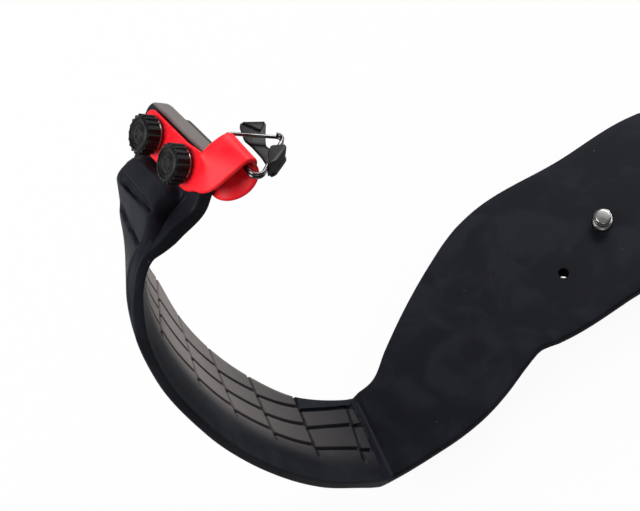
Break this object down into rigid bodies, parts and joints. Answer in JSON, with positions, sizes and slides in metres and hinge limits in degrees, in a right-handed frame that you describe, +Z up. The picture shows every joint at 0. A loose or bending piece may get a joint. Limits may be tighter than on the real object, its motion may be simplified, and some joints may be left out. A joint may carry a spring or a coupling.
{
  "type": "camera hand grip strap",
  "caption": "Moulded rubber hand strap with a tiled grip panel, a flat screw-on foot, a clamped red loop and a small split ring for a camera lug.",
  "frame": {"origin": "axis of the camera screw at the foot's top face, which is the plane of the camera's base", "axes": "+X towards the camera's other side, -Y to the camera's front, +Z up out of the camera's base along the screw"},
  "size_m": [0.188, 0.0967, 0.1512],
  "materials": {
    "rubber": "matt moulded",
    "red": "smooth satin",
    "knob": "satin",
    "cover": "satin",
    "ring": "dark polished",
    "steel": "plated",
    "plate": "black anodised",
    "brass": "plain"
  },
  "bodies": {
    "strap": {"strap_band": "rubber", "clamp_loop": "red", "clamp_bar": "plate", "base_plate": "plate", "insert_1": "brass", "insert_2": "brass", "insert_3": "brass", "insert_4": "brass", "plate_screw_1": "steel", "plate_screw_2": "steel", "plate_screw_3": "steel", "plate_screw_4": "steel"},
    "knob_1_slide": {"washer_1": "steel"},
    "knob_1": {"knob_1": "knob", "knob_stud_1": "steel"},
    "knob_2_slide": {"washer_2": "steel"},
    "knob_2": {"knob_2": "knob", "knob_stud_2": "steel"},
    "ring": {"split_ring": "ring", "ring_protector": "cover"},
    "screw_slide": {"screw_washer": "steel"},
    "screw": {"camera_screw": "steel"},
    "handle": {"d_handle": "steel"}
  },
  "joints": [
    {"name": "knob_1_travel", "type": "slide", "parent": "strap", "child": "knob_1_slide", "axis": [-0.7445, 0.2658, 0.6124], "range_m": [0, 0.0021]},
    {"name": "knob_1_turn", "type": "hinge", "parent": "knob_1_slide", "child": "knob_1", "pos_m": [-0.11664, 0.04882, 0.1182], "axis": [-0.7445, 0.2658, 0.6124], "range_deg": [0, 1080]},
    {"name": "knob_2_travel", "type": "slide", "parent": "strap", "child": "knob_2_slide", "axis": [-0.7445, 0.2658, 0.6124], "range_m": [0, 0.0021]},
    {"name": "knob_2_turn", "type": "hinge", "parent": "knob_2_slide", "child": "knob_2", "pos_m": [-0.11529, 0.03302, 0.1267], "axis": [-0.7445, 0.2658, 0.6124], "range_deg": [0, 1080]},
    {"name": "ring_swing", "type": "hinge", "parent": "strap", "child": "ring", "pos_m": [-0.1046, 0.02538, 0.13451], "axis": [-0.1004, 0.9779, -0.1832], "range_deg": [-30, 30]},
    {"name": "screw_travel", "type": "slide", "parent": "strap", "child": "screw_slide", "axis": [0, 0, 1], "range_m": [-0.0051, 0]},
    {"name": "screw_turn", "type": "hinge", "parent": "screw_slide", "child": "screw", "pos_m": [0, 0, 0], "axis": [0, 0, 1], "range_deg": [-1440, 0]},
    {"name": "handle_fold", "type": "hinge", "parent": "screw", "child": "handle", "pos_m": [0, 0, -0.0108], "axis": [0, 1, 0], "range_deg": [0, 180]}
  ],
  "couplings": [
    {"joint": "knob_1_turn", "follows": "knob_1_travel", "rad_per_m": 8975.9},
    {"joint": "knob_2_turn", "follows": "knob_2_travel", "rad_per_m": 8975.9},
    {"joint": "screw_travel", "follows": "screw_turn", "m_per_rad": 0.00020213}
  ]
}
